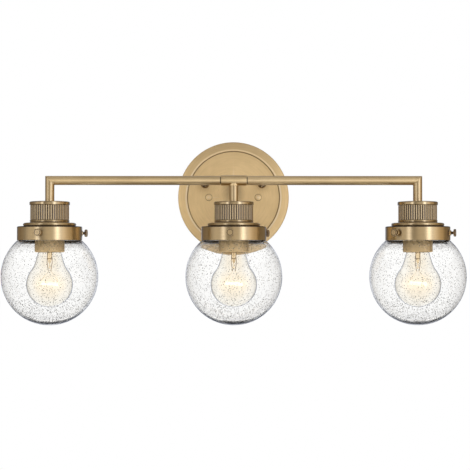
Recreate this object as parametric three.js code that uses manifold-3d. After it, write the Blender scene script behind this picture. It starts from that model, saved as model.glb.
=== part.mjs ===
// A three-lamp vanity light bar: a round wall plate, a short arm, a straight tube with mitred ends,
// and three lamps that hang from it, each with a reeded cap, a screw socket, a bulb and a glass globe.
// Millimetres. X runs along the bar, the room is at -Y, Z is up, and the origin lies on the wall
// where the arm's axis meets it.
import * as THREE from 'three';
import { mergeVertices } from 'three/addons/utils/BufferGeometryUtils.js';
import Module from 'manifold-3d';

const wasm = await Module();
wasm.setup();

// Layout
const lampSpacing = 241.3;
const projection = 120;
const stemDrop = 27;

// Gaps
const clearance = 0.3;
const seatGap = 0.1;
const overrun = 1;

// Tubes and the tee that joins them
const tubeRadius = 6;
const tubeWall = 1.2;
const tailShoulder = 1;
const tailWall = 1.4;
const tailGrip = 6;
const teeStep = 0.75;
const teeLength = 34;
const teeGroove = 0.8;
const teeBossRise = 0.4;
const spigotLength = 10;

// Wall plate: a pan with a raised outer ring and a sunken disc
const plateRadius = 76.2;
const plateDepth = 25.4;
const plateWall = 1.5;
const plateDrop = 18;
const plateEdgeRadius = 3;
const ringSlope = 1;
const discRadius = 63.5;
const discRecess = 2.5;
const discLipRadius = 1;

// Crossbar, a cross of two straps behind the plate
const crossbarThickness = 2;
const crossbarWidth = 18;
const crossbarEnd = 9;
const boxScrewNear = 34.9;
const boxScrewFar = 44.45;
const boxSlotRadius = 2.3;
const boxSlotEnd = 4;

// Studs and the ball knobs that hold the plate on them
const studOffset = 39;
const studRadius = 2;
const studCollarRadius = 4;
const studCollarHeight = 2.5;
const knobRadius = 6.1;
const knobNeckRadius = 3.6;
const knobNeckHeight = 4;
const knobBoreDepth = 8;

// Rivets with a round head, and the stiffener that they hold behind the disc
const buttonOffset = 34;
const buttonRadius = 4.9;
const buttonHeight = 2.2;
const rivetRadius = 2.2;
const rivetTailRadius = 3.6;
const rivetTailHeight = 0.8;
const stiffenerThickness = 1.5;
const stiffenerMargin = 8;
const stiffenerHalfTop = 14;
const stiffenerTop = 12;

// Nut on the arm's tail, and how far the tail runs past it
const armNutWidth = 17;
const armNutHeight = 5;
const armTailRun = 2;

// Earth screw
const groundOffset = 22;
const groundScrewRadius = 2;
const groundHeadRadius = 4.2;
const groundHeadHeight = 2.4;

// Reeded husk
const huskHeight = 28.6;
const huskPlate = 1.5;
const huskInner = 23;
const rimRadius = 26.4;
const rimHeight = 5;
const rimRounding = 0.8;
const reedRadius = 25.3;
const reedDepth = 0.9;
const reedCount = 50;
const flareHeight = 4.4;
const flareEdge = 1;

// Shade holder: a collar inside the husk, a step, and the ring round the globe's neck
const collarRise = 6;
const holderWall = 1.2;
const stepRadius = 34.7;
const stepHeight = 4.7;
const stepRounding = 1.2;
const ringRadius = 42.5;
const ringHeight = 18.2;
const ringRounding = 1.3;

// Thumbscrews
const screwCount = 3;
const screwDrop = 8.5;
const screwRadius = 2;
const screwProjection = 7.5;
const screwHeadRadius = 4.4;
const screwHeadHeight = 2.8;
const screwHeadRounding = 0.5;
const screwBossRadius = 3.4;
const screwBossHeight = 1.4;

// Bulb: a screw base of standard size, a glass envelope half as wide as its globe, and a filament
const baseRadius = 13.2;
const baseLength = 25.5;
const baseWall = 0.6;
const threadPitch = 4.8;
const threadDepth = 0.9;
const threadTurns = 3;
const baseTipRadius = 4.6;
const baseTipHeight = 1.2;
const baseConeRadius = 9.6;
const baseConeHeight = 3.2;
const bulbRadiusShare = 0.5025;
const bulbEndGap = 20.1;
const bulbWall = 0.9;
const bulbTangentAngle = 40;
const bulbTangentReach = 8;
const bulbNeckRadiusShare = 0.536;
const bulbNeckDropShare = 0.168;
const glassOverlap = 4;
const mountRadius = 3.5;
const mountTipRadius = 1.6;
const mountTaper = 5;
const leadDrop = 19;
const filamentSpan = 25;
const filamentRise = 1.1;
const filamentTilt = 2;
const filamentRadius = 0.6;
const leadOffset = 1.6;

// Lampholder round the bulb's base
const shellWall = 1.1;
const shellLength = 22.4;
const chamberRadius = 10;
const chamberDepth = 7;
const pocketDepth = 23;
const socketWall = 2.3;
const socketLength = 52.3;
const tailHoleDepth = 13.3;
const tailEngagement = 6;
const contactHeight = 4.2;
const contactLength = 14;
const contactWidth = 5;
const contactThickness = 0.6;
const lockNutWidth = 14;
const lockNutHeight = 4;

// Socket cup, the plain sleeve that hides the lampholder
const cupWall = 0.9;
const cupGap = 1.4;
const cupLength = 64.8;
const cupLip = 1.2;
const cupRounding = 1.3;

// Glass globe
const globeRadius = 63.5;
const globeWall = 3;
const neckGap = 1.9;
const lipGap = 0.4;
const lipHeight = 4.3;
const shoulderGap = 0.5;
const shoulderRounding = 1;

// Wires, and the connector that joins them behind the plate
const wireRadius = 1.2;
const wireSpread = 1.56;
const wireBend = 4;
const wireEnd = 4.3;
const spliceRadius = 4.4;
const spliceTipRadius = 2.6;
const spliceLength = 8;
const spliceGap = 1;

// How many flat sides stand in for a circle
const plateSides = 36;
const lampSides = 20;
const socketSides = 16;
const tubeSides = 16;
const bulbSides = 12;
const screwSides = 8;
const wireSides = 6;

// Sizes worked out from the ones above
const tubeBore = tubeRadius - tubeWall;
const tailRadius = tubeRadius - tailShoulder;
const tailHole = tailRadius + clearance;
const wireway = tailRadius - tailWall;
const spigotRadius = tubeBore - clearance;
const teeRadius = tubeRadius + teeStep;
const teeBoss = teeRadius + teeBossRise;
const discFace = plateDepth - discRecess;
const discBack = discFace - plateWall;
const stiffenerFace = discBack - clearance;
const stiffenerBack = stiffenerFace - stiffenerThickness;
const armNutFace = stiffenerBack - clearance;
const armTailEnd = armNutFace - armNutHeight - armTailRun;
const stemTailLength = huskPlate + cupWall + lockNutHeight + 3 * seatGap + tailEngagement;
const shellInner = baseRadius + clearance;
const shellRadius = shellInner + shellWall;
const pocketRadius = shellRadius + clearance;
const socketRadius = pocketRadius + socketWall;
const cupInner = socketRadius + cupGap;
const cupRadius = cupInner + cupWall;
const ringInner = ringRadius - holderWall;
const globeNeck = ringInner - neckGap;
const screwTip = globeNeck + clearance;

// Levels in a lamp, below the lower end of its stem
const cupTop = -huskPlate - seatGap;
const lockNutTop = cupTop - cupWall - seatGap;
const socketTop = lockNutTop - lockNutHeight - seatGap;
const socketBottom = socketTop - socketLength;
const pocketTop = socketBottom + pocketDepth;
const chamberTop = pocketTop + chamberDepth;
const contactTop = chamberTop - seatGap;
const bulbTip = contactTop - contactHeight - clearance;
const baseRim = bulbTip - baseLength;
const holderTop = -huskHeight - seatGap;
const ringTop = holderTop - stepHeight;
const ringBottom = ringTop - ringHeight;
const screwLevel = ringTop - screwDrop;
const lipBottom = screwLevel + screwRadius + clearance;
const shoulderLevel = ringBottom - shoulderGap;
const shoulderRadius = ringRadius + seatGap;
const globeCentre = shoulderLevel - Math.sqrt(globeRadius ** 2 - shoulderRadius ** 2);
const globeInner = globeRadius - globeWall;
const bulbRadius = globeInner * bulbRadiusShare;
const bulbCentre = globeCentre - globeInner + bulbEndGap + bulbRadius;

const X = new THREE.Vector3(1, 0, 0);
const Y = new THREE.Vector3(0, 1, 0);
const Z = new THREE.Vector3(0, 0, 1);
const quarter = Math.PI / 2;
const radians = THREE.MathUtils.degToRad;

// A closed geometry as a solid that can be joined and cut.
function toSolid(geometry) {
  const source = geometry.index ? geometry.toNonIndexed() : geometry;
  const bare = new THREE.BufferGeometry();
  bare.setAttribute('position', source.getAttribute('position'));
  const merged = mergeVertices(bare);
  const corners = [];
  for (let i = 0; i < merged.index.count; i += 3) {
    const [a, b, c] = merged.index.array.subarray(i, i + 3);
    if (a !== b && b !== c && c !== a) corners.push(a, b, c);
  }
  return new wasm.Manifold(new wasm.Mesh({
    numProp: 3,
    vertProperties: merged.getAttribute('position').array,
    triVerts: new Uint32Array(corners),
  }));
}

function join(...geometries) {
  return fromSolid(geometries.map(toSolid).reduce((whole, piece) => whole.add(piece)));
}

function cut(geometry, ...cutters) {
  return fromSolid(cutters.map(toSolid).reduce((whole, cutter) => whole.subtract(cutter), toSolid(geometry)));
}

function fromSolid(solid) {
  const { numProp, vertProperties, triVerts } = solid.getMesh();
  const positions = [];
  for (let i = 0; i < vertProperties.length; i += numProp) {
    positions.push(vertProperties[i], vertProperties[i + 1], vertProperties[i + 2]);
  }
  const geometry = new THREE.BufferGeometry();
  geometry.setAttribute('position', new THREE.Float32BufferAttribute(positions, 3));
  geometry.setIndex(Array.from(triVerts));
  return geometry;
}

// Points on a circle in the radius and height plane, from one angle in degrees to another.
function arc(radius, height, size, from, to, steps) {
  return Array.from({ length: steps + 1 }, (_, i) => {
    const angle = radians(from + (to - from) * i / steps);
    return [radius + size * Math.cos(angle), height + size * Math.sin(angle)];
  });
}

// Turns a closed outline of radius and height points about Z. The outline runs anticlockwise.
function turned(outline, sides) {
  const points = [...outline, outline[0]].map(([radius, height]) => new THREE.Vector2(radius, height));
  return new THREE.LatheGeometry(points, sides).rotateX(quarter);
}

// A round bar or bored tube along Z between two heights.
function rod(radius, from, to, sides, bore = 0) {
  return turned([[bore, from], [radius, from], [radius, to], [bore, to]], sides);
}

// Joins rings of points, all with as many points, into one closed skin. The last ring meets the first.
function skin(rings) {
  const sides = rings[0].length;
  const corners = [];
  rings.forEach((_, i) => {
    const here = i * sides;
    const next = (i + 1) % rings.length * sides;
    for (let j = 0; j < sides; j += 1) {
      const k = (j + 1) % sides;
      corners.push(here + j, here + k, next + k, here + j, next + k, next + j);
    }
  });
  const geometry = new THREE.BufferGeometry();
  geometry.setAttribute('position', new THREE.Float32BufferAttribute(rings.flat(2), 3));
  geometry.setIndex(corners);
  return geometry;
}

// A flat plate along Z: an outline in X and Y with round holes.
function plate(outline, thickness, holes = []) {
  const shape = new THREE.Shape(outline.map(([x, y]) => new THREE.Vector2(x, y)));
  for (const hole of holes) shape.holes.push(new THREE.Path(hole.map(([x, y]) => new THREE.Vector2(x, y))));
  return new THREE.ExtrudeGeometry(shape, { depth: thickness, bevelEnabled: false });
}

function circle(x, y, radius, sides) {
  return Array.from({ length: sides }, (_, i) => {
    const angle = 2 * Math.PI * i / sides;
    return [x + radius * Math.cos(angle), y + radius * Math.sin(angle)];
  });
}

// A slot with round ends, across Y from one place to another.
function slot(from, to, radius, sides) {
  const half = sides / 2;
  const end = (y, start) => Array.from({ length: half + 1 }, (_, i) => {
    const angle = start + Math.PI * i / half;
    return [radius * Math.cos(angle), y + radius * Math.sin(angle)];
  });
  return [...end(to, 0), ...end(from, Math.PI)];
}

function hexNut(width, height, hole) {
  return plate(circle(0, 0, width / Math.sqrt(3), 6), height, [circle(0, 0, hole, tubeSides)]);
}

// A line moved sideways to its left, as the inside face of a wall.
function inset(line, distance) {
  return line.map(([radius, height], i) => {
    const [r0, h0] = line[Math.max(i - 1, 0)];
    const [r1, h1] = line[Math.min(i + 1, line.length - 1)];
    const length = Math.hypot(r1 - r0, h1 - h0);
    return [Math.max(radius - distance * (h1 - h0) / length, 0), height + distance * (r1 - r0) / length];
  });
}

// A path whose sections fall exactly on its points.
class Route extends THREE.Curve {
  constructor(points) {
    super();
    this.points = points;
  }

  getPointAt(share, target = new THREE.Vector3()) {
    return target.copy(this.points[Math.round(share * (this.points.length - 1))]);
  }

  getTangentAt(share, target = new THREE.Vector3()) {
    const i = Math.round(share * (this.points.length - 1));
    const last = this.points.length - 1;
    const along = (a, b) => new THREE.Vector3().subVectors(this.points[b], this.points[a]).normalize();
    const before = along(Math.max(i - 1, 0), Math.max(i, 1));
    const after = along(Math.min(i, last - 1), Math.min(i + 1, last));
    return target.copy(before.add(after)).normalize();
  }
}

function wire(points, radius) {
  const shape = new THREE.Shape(circle(0, 0, radius, wireSides).map(([x, y]) => new THREE.Vector2(x, y)));
  const route = new Route(points);
  return new THREE.ExtrudeGeometry(shape, { extrudePath: route, steps: points.length - 1 });
}

// A quarter bend at a corner, from one direction to the other.
function bend(corner, from, to, radius, steps = 4) {
  const centre = corner.clone().addScaledVector(from, -radius).addScaledVector(to, radius);
  return Array.from({ length: steps + 1 }, (_, i) => {
    const angle = quarter * i / steps;
    return centre.clone()
      .addScaledVector(to, -radius * Math.cos(angle))
      .addScaledVector(from, radius * Math.sin(angle));
  });
}

function material(color, roughness, metalness, more = {}) {
  return new THREE.MeshStandardMaterial({ color, roughness, metalness, ...more });
}

const brass = () => material(0xb8925a, 0.34, 1);
const steel = () => material(0xb4b4b0, 0.45, 1);
const copper = () => material(0xc88b52, 0.35, 1);
const glass = () => material(0xeef0ee, 0.05, 0, { transparent: true, opacity: 0.28 });

function piece(name, geometry, finish) {
  const mesh = new THREE.Mesh(geometry, finish);
  mesh.name = name;
  return mesh;
}

const fixture = new THREE.Group();

// Wall side. Shapes here are built facing +Z and stood against the wall with +Z out into the room.
const wallSide = new THREE.Group();
wallSide.rotation.x = quarter;
fixture.add(wallSide);

const lipInner = discRadius + plateWall;
const plateInner = plateRadius - plateWall;
const plateOutline = [
  [plateInner, 0],
  [plateRadius, 0],
  ...arc(plateRadius - plateEdgeRadius, plateDepth - ringSlope - plateEdgeRadius, plateEdgeRadius, 0, 90, 3),
  ...arc(discRadius + discLipRadius, plateDepth - discLipRadius, discLipRadius, 90, 180, 2),
  [discRadius, discFace],
  [0, discFace],
  [0, discBack],
  [lipInner, discBack],
  [lipInner, plateDepth - plateWall],
  [plateInner, plateDepth - ringSlope - plateWall],
];
const throughDisc = (x, y, radius, sides) =>
  rod(radius, discBack - overrun, discFace + overrun, sides).translate(x, y, 0);
const backplate = piece('backplate', cut(
  turned(plateOutline, plateSides).translate(0, -plateDrop, 0),
  throughDisc(0, 0, tailHole, tubeSides),
  throughDisc(-studOffset, 0, studRadius + clearance, screwSides),
  throughDisc(studOffset, 0, studRadius + clearance, screwSides),
  throughDisc(-buttonOffset, -plateDrop, rivetRadius + clearance, screwSides),
  throughDisc(buttonOffset, -plateDrop, rivetRadius + clearance, screwSides),
), brass());
wallSide.add(backplate);

// The upright strap takes the box screws, and the level one the studs and the earth screw.
const strapReach = studOffset + crossbarEnd;
const boxReach = boxScrewFar + boxSlotRadius + boxSlotEnd;
const half = crossbarWidth / 2;
const crossbarOutline = [
  [-strapReach, -half], [-half, -half], [-half, -boxReach], [half, -boxReach], [half, -half],
  [strapReach, -half], [strapReach, half], [half, half], [half, boxReach], [-half, boxReach],
  [-half, half], [-strapReach, half],
];
wallSide.add(piece('crossbar', plate(crossbarOutline, crossbarThickness, [
  slot(boxScrewNear, boxScrewFar, boxSlotRadius, screwSides),
  slot(-boxScrewFar, -boxScrewNear, boxSlotRadius, screwSides),
  circle(-studOffset, 0, studRadius + clearance, screwSides),
  circle(studOffset, 0, studRadius + clearance, screwSides),
  circle(-groundOffset, 0, groundScrewRadius + clearance, screwSides),
]), steel()));

const collarStart = crossbarThickness + clearance;
const knobSeat = discFace + clearance;
const knobCentre = knobSeat + knobNeckHeight + Math.sqrt(knobRadius ** 2 - knobNeckRadius ** 2);
const knobStart = THREE.MathUtils.radToDeg(Math.acos(knobNeckRadius / knobRadius));
const knobBore = studRadius + clearance;
for (const [side, x] of [['left', -studOffset], ['right', studOffset]]) {
  const stud = piece(`mounting_stud_${side}`, turned([
    [0, clearance],
    [studRadius, clearance],
    [studRadius, collarStart],
    [studCollarRadius, collarStart],
    [studCollarRadius, collarStart + studCollarHeight],
    [studRadius, collarStart + studCollarHeight],
    [studRadius, knobSeat + knobBoreDepth - clearance],
    [0, knobSeat + knobBoreDepth - clearance],
  ], screwSides), steel());
  const knob = piece(`ball_knob_${side}`, turned([
    [knobBore, knobSeat],
    [knobNeckRadius, knobSeat],
    ...arc(0, knobCentre, knobRadius, -knobStart, 90, 6),
    [0, knobSeat + knobBoreDepth],
    [knobBore, knobSeat + knobBoreDepth],
  ], bulbSides), brass());
  stud.position.x = x;
  knob.position.x = x;
  wallSide.add(stud, knob);
}

const rivetSeat = stiffenerBack - clearance;
const domeRadius = (buttonRadius ** 2 + buttonHeight ** 2) / (2 * buttonHeight);
const domeAngle = THREE.MathUtils.radToDeg(Math.acos(buttonRadius / domeRadius));
for (const [side, x] of [['left', -buttonOffset], ['right', buttonOffset]]) {
  const button = piece(`plate_button_${side}`, turned([
    [0, rivetSeat - rivetTailHeight],
    [rivetTailRadius, rivetSeat - rivetTailHeight],
    [rivetTailRadius, rivetSeat],
    [rivetRadius, rivetSeat],
    [rivetRadius, discFace + seatGap],
    ...arc(0, discFace + seatGap + buttonHeight - domeRadius, domeRadius, domeAngle, 90, 3),
  ], screwSides), brass());
  button.position.set(x, -plateDrop, 0);
  wallSide.add(button);
}

const stiffenerSide = buttonOffset + stiffenerMargin;
const stiffener = piece('stiffener', plate([
  [-stiffenerSide, -plateDrop - stiffenerMargin],
  [stiffenerSide, -plateDrop - stiffenerMargin],
  [stiffenerSide, -plateDrop + stiffenerMargin],
  [stiffenerHalfTop, stiffenerTop],
  [-stiffenerHalfTop, stiffenerTop],
  [-stiffenerSide, -plateDrop + stiffenerMargin],
], stiffenerThickness, [
  circle(0, 0, tailHole, tubeSides),
  circle(-buttonOffset, -plateDrop, rivetRadius + clearance, screwSides),
  circle(buttonOffset, -plateDrop, rivetRadius + clearance, screwSides),
]), steel());
stiffener.position.z = stiffenerBack;
wallSide.add(stiffener);

const armNut = piece('arm_nut', hexNut(armNutWidth, armNutHeight, tailHole), steel());
armNut.position.z = armNutFace - armNutHeight;
wallSide.add(armNut);

const groundScrew = piece('ground_screw', turned([
  [0, clearance],
  [groundScrewRadius, clearance],
  [groundScrewRadius, collarStart],
  [groundHeadRadius, collarStart],
  [groundHeadRadius, collarStart + groundHeadHeight],
  [0, collarStart + groundHeadHeight],
], screwSides), material(0x3f7f4a, 0.5, 0.6));
groundScrew.position.x = -groundOffset;
wallSide.add(groundScrew);

// The arm runs from the disc out to the back of the tee, and its threaded tail goes through the disc.
const armShoulder = discFace + clearance;
const armEnd = projection - teeBoss - clearance;
wallSide.add(piece('support_arm', turned([
  [wireway, armTailEnd],
  [tailRadius, armTailEnd],
  [tailRadius, armShoulder],
  [tubeRadius, armShoulder],
  [tubeRadius, armEnd],
  [tubeBore, armEnd],
  [tubeBore, armShoulder + tailGrip],
  [wireway, armShoulder + tailGrip],
], tubeSides), brass()));

// Bar side, in a group whose origin is the middle of the bar's axis.
const barSide = new THREE.Group();
barSide.position.y = -projection;
fixture.add(barSide);

// The tee is bored three ways for the wires, and its spigots enter the tubes.
const teeEnd = teeLength / 2;
const teeBranch = (bore) => rod(bore ? wireway : tubeRadius, 0, bore ? teeBoss + spigotLength + overrun : teeBoss, tubeSides);
const teeSpigot = () => rod(spigotRadius, 0, teeBoss + spigotLength, tubeSides);
const along = (geometry) => geometry.rotateY(quarter);
const down = (geometry) => geometry.rotateX(Math.PI);
const back = (geometry) => geometry.rotateX(-quarter);
barSide.add(piece('center_tee', cut(
  join(
    along(rod(teeRadius, -teeEnd, teeEnd, tubeSides)),
    along(rod(spigotRadius, -teeEnd - spigotLength, teeEnd + spigotLength, tubeSides)),
    down(teeBranch(false)),
    down(teeSpigot()),
    back(teeBranch(false)),
    back(teeSpigot()),
  ),
  along(rod(wireway, -teeEnd - spigotLength - overrun, teeEnd + spigotLength + overrun, tubeSides)),
  down(teeBranch(true)),
  back(teeBranch(true)),
), brass()));

// A stem is the short upright tube over a lamp, with a threaded tail below it.
const stemTail = [
  [wireway, -stemDrop - stemTailLength],
  [tailRadius, -stemDrop - stemTailLength],
  [tailRadius, -stemDrop],
  [tubeRadius, -stemDrop],
];
const stemGrip = [
  [tubeBore, -stemDrop + tailGrip],
  [wireway, -stemDrop + tailGrip],
];
const stemTop = -teeBoss - clearance;
barSide.add(piece('center_stem', turned([
  ...stemTail, [tubeRadius, stemTop], [tubeBore, stemTop], ...stemGrip,
], tubeSides), brass()));

// One half of the bar: a level tube, mitred at its end to a stem with a threaded tail. Each ring of
// points lies across the level tube, on the mitre plane or across the stem.
const barStart = teeEnd + teeGroove;
const level = (radius, x) => circle(0, 0, radius, tubeSides).map(([y, z]) => [x, y, z]);
const mitred = (radius) => circle(0, 0, radius, tubeSides).map(([y, z]) => [lampSpacing + z, y, z]);
const upright = (radius, height) => circle(0, 0, radius, tubeSides).map(([y, x]) => [lampSpacing + x, y, height]);
const rightHalf = skin([
  level(tubeRadius, barStart),
  mitred(tubeRadius),
  ...stemTail.map(([radius, height]) => upright(radius, height)).reverse(),
  ...stemGrip.map(([radius, height]) => upright(radius, height)).reverse(),
  mitred(tubeBore),
  level(tubeBore, barStart),
]);
const leftHalf = rightHalf.clone().rotateZ(Math.PI);
barSide.add(piece('bar_right', rightHalf, brass()), piece('bar_left', leftHalf, brass()));

// One lamp. Its first thumbscrew's angle is measured from the front towards the right.
function lamp(side, x, firstScrewAngle) {
  const group = new THREE.Group();
  group.position.set(x, 0, -stemDrop);

  const valley = reedRadius - reedDepth;
  const reedTop = -rimHeight + rimRounding;
  const reedBottom = -huskHeight + flareEdge;
  const reeds = Array.from({ length: 2 * reedCount }, (_, i) => {
    const angle = Math.PI * i / reedCount;
    const radius = i % 2 ? reedRadius : valley;
    return [radius * Math.cos(angle), radius * Math.sin(angle)];
  });
  const reedBand = plate(reeds, reedTop - reedBottom, [circle(0, 0, (huskInner + valley) / 2, lampSides)]);
  group.add(piece(`husk_${side}`, join(
    turned([
      [huskInner, -huskHeight],
      [rimRadius, -huskHeight],
      [rimRadius, -huskHeight + flareEdge],
      [valley, -huskHeight + flareHeight],
      [valley, -rimHeight],
      [rimRadius - rimRounding, -rimHeight],
      [rimRadius, -rimHeight + rimRounding],
      [rimRadius, -rimRounding],
      [rimRadius - rimRounding, 0],
      [tailHole, 0],
      [tailHole, -huskPlate],
      [huskInner, -huskPlate],
    ], lampSides),
    reedBand.translate(0, 0, reedBottom),
  ), brass()));

  const collar = huskInner - clearance;
  const holder = turned([
    [ringInner, ringBottom],
    [ringRadius, ringBottom],
    ...arc(ringRadius - ringRounding, ringTop - ringRounding, ringRounding, 0, 90, 2),
    [stepRadius - stepRounding, ringTop],
    [stepRadius, ringTop + stepRounding],
    [stepRadius, holderTop - stepRounding],
    [stepRadius - stepRounding, holderTop],
    [collar, holderTop],
    [collar, holderTop + collarRise],
    [collar - holderWall, holderTop + collarRise],
    [collar - holderWall, holderTop - holderWall],
    [stepRadius - holderWall, holderTop - holderWall],
    [stepRadius - holderWall, ringTop - holderWall],
    [ringInner, ringTop - holderWall],
  ], lampSides);
  const screwAngles = Array.from({ length: screwCount }, (_, i) => radians(firstScrewAngle + 360 * i / screwCount));
  const outward = (geometry, angle) => geometry.rotateX(quarter).rotateZ(angle).translate(0, 0, screwLevel);
  const bossStart = ringRadius - holderWall / 2;
  const bosses = screwAngles.map((angle) =>
    outward(rod(screwBossRadius, bossStart, ringRadius + screwBossHeight, screwSides), angle));
  const screwHoles = screwAngles.map((angle) =>
    outward(rod(screwRadius + clearance, screwTip, ringRadius + screwBossHeight + overrun, screwSides), angle));
  group.add(piece(`shade_holder_${side}`, cut(join(holder, ...bosses), ...screwHoles), brass()));

  const screwEnd = ringRadius + screwProjection;
  const screwNeck = screwEnd - screwHeadHeight;
  screwAngles.forEach((angle, i) => {
    const screw = piece(`thumbscrew_${side}_${'abc'[i]}`, turned([
      [0, screwTip],
      [screwRadius, screwTip],
      [screwRadius, screwNeck],
      [screwHeadRadius, screwNeck],
      [screwHeadRadius, screwEnd - screwHeadRounding],
      [screwHeadRadius - screwHeadRounding, screwEnd],
      [0, screwEnd],
    ], screwSides), brass());
    screw.position.z = screwLevel;
    screw.rotation.set(quarter, 0, angle, 'ZYX');
    group.add(screw);
  });

  const cupBottom = cupTop - cupLength;
  group.add(piece(`socket_cup_${side}`, turned([
    [cupInner - cupLip, cupBottom],
    ...arc(cupRadius - cupRounding, cupBottom + cupRounding, cupRounding, -90, 0, 2),
    [cupRadius, cupTop],
    [tailHole, cupTop],
    [tailHole, cupTop - cupWall],
    [cupInner, cupTop - cupWall],
    [cupInner, cupBottom + cupRounding],
    [cupInner - cupLip, cupBottom + cupWall],
  ], lampSides), brass()));

  const lockNut = piece(`lock_nut_${side}`, hexNut(lockNutWidth, lockNutHeight, tailHole), steel());
  lockNut.position.z = lockNutTop - lockNutHeight;
  group.add(lockNut);

  group.add(piece(`lampholder_${side}`, turned([
    [pocketRadius, socketBottom],
    [socketRadius, socketBottom],
    [socketRadius, socketTop],
    [tailHole, socketTop],
    [tailHole, socketTop - tailHoleDepth],
    [0, socketTop - tailHoleDepth],
    [0, chamberTop],
    [chamberRadius, chamberTop],
    [chamberRadius, pocketTop],
    [pocketRadius, pocketTop],
  ], socketSides), material(0xe8e2d6, 0.5, 0)));

  const shellTop = pocketTop - seatGap;
  group.add(piece(`screw_shell_${side}`, turned([
    [shellInner, shellTop - shellLength],
    [shellRadius, shellTop - shellLength],
    [shellRadius, shellTop],
    [chamberRadius, shellTop],
    [chamberRadius, shellTop - shellWall],
    [shellInner, shellTop - shellWall],
  ], socketSides), copper()));

  const leafEnd = contactLength / 2;
  const leafBottom = contactTop - contactHeight;
  const leaf = plate([
    [-leafEnd, leafBottom],
    [leafEnd, leafBottom],
    [leafEnd, leafBottom + contactThickness],
    [-leafEnd + contactThickness, leafBottom + contactThickness],
    [-leafEnd + contactThickness, contactTop - contactThickness],
    [leafEnd, contactTop - contactThickness],
    [leafEnd, contactTop],
    [-leafEnd, contactTop],
  ], contactWidth);
  leaf.translate(0, 0, -contactWidth / 2).rotateX(quarter);
  group.add(piece(`center_contact_${side}`, leaf, copper()));

  const bulb = new THREE.Group();
  group.add(bulb);
  const threadStart = bulbTip - baseTipHeight - baseConeHeight - threadPitch / 2;
  const thread = Array.from({ length: 2 * threadTurns }, (_, i) =>
    [baseRadius - (i % 2 ? threadDepth : 0), threadStart - threadPitch * i / 2]).reverse();
  const recess = baseRadius - baseWall;
  const recessTop = baseRim + glassOverlap + clearance;
  bulb.add(piece(`bulb_base_${side}`, turned([
    [recess, baseRim],
    [baseRadius, baseRim],
    ...thread,
    [baseConeRadius, bulbTip - baseTipHeight - baseConeHeight],
    [baseTipRadius, bulbTip - baseTipHeight],
    [baseTipRadius / 2, bulbTip],
    [0, bulbTip],
    [0, recessTop],
    [recess, recessTop],
  ], socketSides), copper()));

  const glassNeck = recess - clearance;
  const tangent = radians(bulbTangentAngle);
  const tangentPoint = new THREE.Vector2(Math.cos(tangent), Math.sin(tangent))
    .multiplyScalar(bulbRadius).add(new THREE.Vector2(0, bulbCentre));
  const neckCurve = new THREE.CubicBezierCurve(
    tangentPoint,
    new THREE.Vector2(-Math.sin(tangent), Math.cos(tangent)).multiplyScalar(bulbTangentReach).add(tangentPoint),
    new THREE.Vector2(bulbRadius * bulbNeckRadiusShare, baseRim + (bulbCentre - baseRim) * bulbNeckDropShare),
    new THREE.Vector2(glassNeck, baseRim),
  );
  const envelope = [
    ...arc(0, bulbCentre, bulbRadius, -90, bulbTangentAngle, 6),
    ...neckCurve.getPoints(3).slice(1).map((point) => point.toArray()),
    [glassNeck, baseRim + glassOverlap],
  ];
  bulb.add(piece(`bulb_glass_${side}`, turned(
    [...envelope, ...inset(envelope, bulbWall).reverse()], bulbSides,
  ), glass()));

  // The glass mount rises from the base, and one wire runs down a lead, across and up the other lead.
  const mountTop = recessTop - clearance;
  const filamentLevel = bulbCentre + filamentRise;
  const mountTip = filamentLevel + leadDrop;
  const mountBody = turned([
    [0, mountTip],
    [mountTipRadius, mountTip],
    [mountRadius, mountTip + mountTaper],
    [mountRadius, mountTop - mountTaper],
    [glassNeck - bulbWall - clearance, mountTop],
    [0, mountTop],
  ], screwSides);
  const hook = (sign) => [
    new THREE.Vector3(sign * leadOffset, 0, mountTip + mountTaper),
    new THREE.Vector3(sign * leadOffset, 0, mountTip - filamentRadius),
    new THREE.Vector3(sign * filamentSpan / 2, 0, filamentLevel + sign * filamentTilt / 2),
  ];
  const filament = wire([...hook(-1), ...hook(1).reverse()], filamentRadius);
  bulb.add(piece(`bulb_filament_${side}`, join(mountBody, filament),
    material(0xffc27a, 0.4, 0, { emissive: 0xffa040, emissiveIntensity: 2 })));

  const neckInner = globeNeck - globeWall;
  const lipRadius = ringInner - lipGap;
  const lipTop = lipBottom + lipHeight;
  const angleAt = (radius, size) => THREE.MathUtils.radToDeg(Math.acos(radius / size));
  group.add(piece(`globe_${side}`, turned([
    ...arc(0, globeCentre, globeRadius, -90, 0, 5),
    ...arc(0, globeCentre, globeRadius, 0, angleAt(shoulderRadius, globeRadius), 3).slice(1),
    [globeNeck + shoulderRounding, shoulderLevel],
    [globeNeck, shoulderLevel + shoulderRounding],
    [globeNeck, lipBottom],
    [lipRadius, lipBottom],
    [lipRadius, lipTop],
    [neckInner, lipTop],
    ...arc(0, globeCentre, globeInner, angleAt(neckInner, globeInner), -90, 7),
  ], lampSides), glass()));

  return group;
}

barSide.add(lamp('left', -lampSpacing, -12.2));
barSide.add(lamp('center', 0, -6));
barSide.add(lamp('right', lampSpacing, -45.6));

// The wires start in a connector behind the disc and share the arm's bore out to the tee. One turns
// left, one right and one down, and each ends in its lampholder.
const spliceFace = projection - armTailEnd + spliceGap;
const wireStart = spliceFace + spliceLength / 2;
const wireFoot = -stemDrop - stemTailLength - wireEnd;
const inArm = (angle) => [wireSpread * Math.sin(angle), wireSpread * Math.cos(angle)];
const forward = Y.clone().negate();
const downward = Z.clone().negate();

function sideWire(sign) {
  const [x, z] = inArm(sign * Math.PI / 3);
  const outward = X.clone().multiplyScalar(sign);
  return [
    new THREE.Vector3(x, wireStart, z),
    ...bend(new THREE.Vector3(x, 0, z), forward, outward, wireBend),
    ...bend(new THREE.Vector3(sign * lampSpacing, 0, z), outward, downward, wireBend),
    new THREE.Vector3(sign * lampSpacing, 0, wireFoot),
  ];
}

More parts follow.
